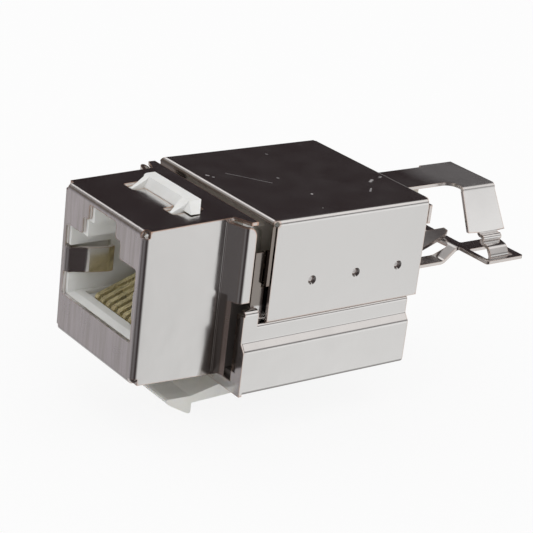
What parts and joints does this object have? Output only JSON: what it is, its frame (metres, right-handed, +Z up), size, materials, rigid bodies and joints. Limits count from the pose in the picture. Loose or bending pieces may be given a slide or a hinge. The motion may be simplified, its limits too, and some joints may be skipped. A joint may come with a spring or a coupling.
{
  "type": "shielded keystone jack",
  "caption": "Shielded network keystone jack in folded metal shields, with spring latch, lift-off rear cover and a strap clamp for the cable.",
  "frame": {"origin": "centre of the plug opening on the outer face of the front panel", "axes": "+X to the right seen from the front, +Y back along the cable, +Z up towards the fixed lug"},
  "size_m": [0.021, 0.0485, 0.0224],
  "materials": {
    "shield_metal": "bright nickel over copper alloy sheet",
    "white_plastic": "moulded white",
    "ivory_plastic": "moulded ivory",
    "clear_plastic": "moulded, slightly see-through",
    "contact_gold": "gold plated",
    "blade_tin": "tinned",
    "board_green": "solder resist"
  },
  "bodies": {
    "jack": {"front_shield": "shield_metal", "jack_insert": "white_plastic", "contact_carrier": "white_plastic", "contact_wire_1": "contact_gold", "contact_wire_2": "contact_gold", "contact_wire_3": "contact_gold", "contact_wire_4": "contact_gold", "contact_wire_5": "contact_gold", "contact_wire_6": "contact_gold", "contact_wire_7": "contact_gold", "contact_wire_8": "contact_gold", "circuit_board": "board_green", "idc_block": "white_plastic", "idc_blade_1": "blade_tin", "idc_blade_2": "blade_tin", "idc_blade_3": "blade_tin", "idc_blade_4": "blade_tin", "idc_blade_5": "blade_tin", "idc_blade_6": "blade_tin", "idc_blade_7": "blade_tin", "idc_blade_8": "blade_tin", "wire_cap": "ivory_plastic", "lower_shield": "shield_metal"},
    "latch": {"latch_arm": "clear_plastic"},
    "cover": {"rear_shield": "shield_metal"}
  },
  "joints": [
    {"name": "cover_lift", "type": "slide", "parent": "jack", "child": "cover", "axis": [0, 0, 1], "range_m": [0, 0.012]},
    {"name": "latch_flex", "type": "hinge", "parent": "jack", "child": "latch", "pos_m": [0, 0.017, -0.01105], "axis": [-1, 0, 0], "range_deg": [0, 12], "stiffness_Nm_per_rad": 0.25}
  ]
}
